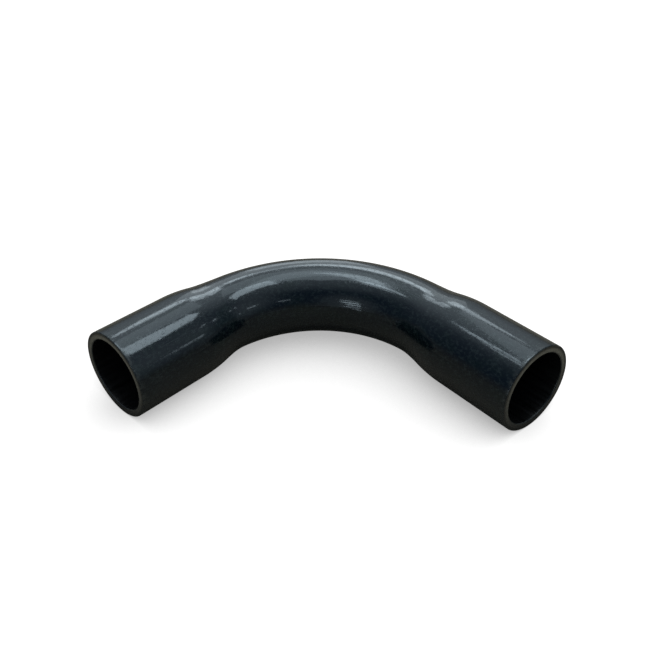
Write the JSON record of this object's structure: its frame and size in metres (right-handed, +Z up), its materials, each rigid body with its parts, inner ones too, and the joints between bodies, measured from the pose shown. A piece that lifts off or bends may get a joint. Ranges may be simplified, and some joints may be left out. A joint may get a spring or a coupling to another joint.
{
  "type": "pvc conduit elbow",
  "caption": "Right-angle bend of dark slate rigid PVC conduit, one piece, with both ends belled into plain solvent-cement sockets.",
  "frame": {"origin": "on the bench that the bells lie on, under the middle of the elbow's bounding box", "axes": "+Z up, square to the level plane of the bend; the mouth of socket A faces -Y, the mouth of socket B faces +X, and the outside of the bend faces -X and +Y"},
  "size_m": [0.1494, 0.1416, 0.0407],
  "materials": {
    "dark_slate_pvc": "glossy extruded tube with faint lengthwise flow lines; matt at the sawn rims"
  },
  "bodies": {
    "root": {"elbow_tube": "dark_slate_pvc"}
  },
  "joints": []
}
